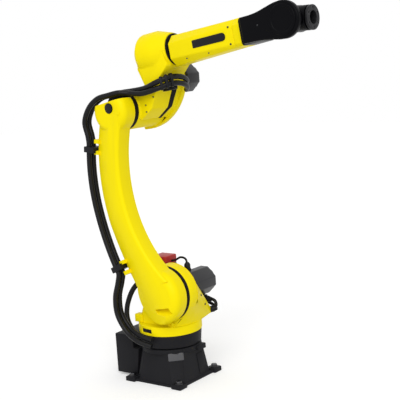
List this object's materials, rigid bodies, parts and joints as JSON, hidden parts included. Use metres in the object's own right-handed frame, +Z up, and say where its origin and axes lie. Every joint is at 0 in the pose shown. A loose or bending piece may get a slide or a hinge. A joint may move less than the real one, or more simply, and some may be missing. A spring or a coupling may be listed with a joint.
{
  "type": "industrial robot arm",
  "caption": "Floor-standing jointed robot arm with flared black base, turning shoulder, bowed yellow lower arm, elbow, slim forearm, bending wrist with hollow flange, and hoses along its back.",
  "frame": {"origin": "on the first (turning) axis at floor level, under the base", "axes": "+X forward, the way the forearm points; +Y away from the lower arm casting; +Z up"},
  "size_m": [1.1052, 0.4217, 1.6652],
  "materials": {
    "yellow_paint": "satin yellow paint on aluminium castings",
    "black_paint": "semi-matt black paint",
    "black_plastic": "moulded black plastic",
    "red_plastic": "moulded red plastic",
    "seal_rubber": "matt black",
    "hose_rubber": "semi-matt black sheath",
    "dark_steel": "blackened machined steel"
  },
  "bodies": {
    "base": {"base_casting": "black_paint", "connector_box": "black_paint", "connector_cover": "black_paint"},
    "swivel": {"turret_ring": "black_paint", "swivel_casting": "yellow_paint", "flange_plate": "black_plastic", "stop_block": "yellow_paint", "shoulder_seal": "seal_rubber", "shoulder_motor_cover": "black_plastic", "motor_connector": "black_plastic", "turning_motor": "black_paint", "turning_motor_cap": "red_plastic", "hose_low": "hose_rubber", "hose_branch": "hose_rubber"},
    "arm": {"lower_arm": "yellow_paint", "arm_plug": "black_plastic", "hose_bracket_low": "black_plastic", "hose_bracket_high": "black_plastic", "hose_arm": "hose_rubber", "hose_high": "hose_rubber"},
    "elbow": {"elbow_casting": "yellow_paint", "elbow_seal": "seal_rubber", "elbow_motor_cover": "black_plastic", "elbow_rear_cover": "yellow_paint", "hose_saddle": "black_plastic", "barrel_seal": "seal_rubber"},
    "forearm": {"forearm_casting": "yellow_paint", "forearm_collar": "yellow_paint", "wrist_shell": "black_paint"},
    "wrist": {"wrist_block": "black_paint", "wrist_cap": "black_paint"},
    "tool": {"tool_flange": "dark_steel"}
  },
  "joints": [
    {"name": "turn", "type": "hinge", "parent": "base", "child": "swivel", "pos_m": [0, 0, 0.2], "axis": [0, 0, 1], "range_deg": [-170, 170]},
    {"name": "shoulder", "type": "hinge", "parent": "swivel", "child": "arm", "pos_m": [0.075, 0, 0.425], "axis": [0, 1, 0], "range_deg": [-60, 105], "deforming": ["hose_low"]},
    {"name": "elbow", "type": "hinge", "parent": "arm", "child": "elbow", "pos_m": [-0.10681, 0, 1.24509], "axis": [0, -1, 0], "range_deg": [-75, 110], "deforming": ["hose_high"]},
    {"name": "forearm_roll", "type": "hinge", "parent": "elbow", "child": "forearm", "pos_m": [-0.13859, 0, 1.45773], "axis": [0.989, 0, 0.1478], "range_deg": [-200, 200]},
    {"name": "wrist_bend", "type": "hinge", "parent": "forearm", "child": "wrist", "pos_m": [0.74164, 0, 1.58928], "axis": [0, -1, 0], "range_deg": [-132, 148]},
    {"name": "tool_turn", "type": "hinge", "parent": "wrist", "child": "tool", "pos_m": [0.83162, 0, 1.59085], "axis": [0.9998, 0, 0.0175], "range_deg": [-270, 270]}
  ]
}
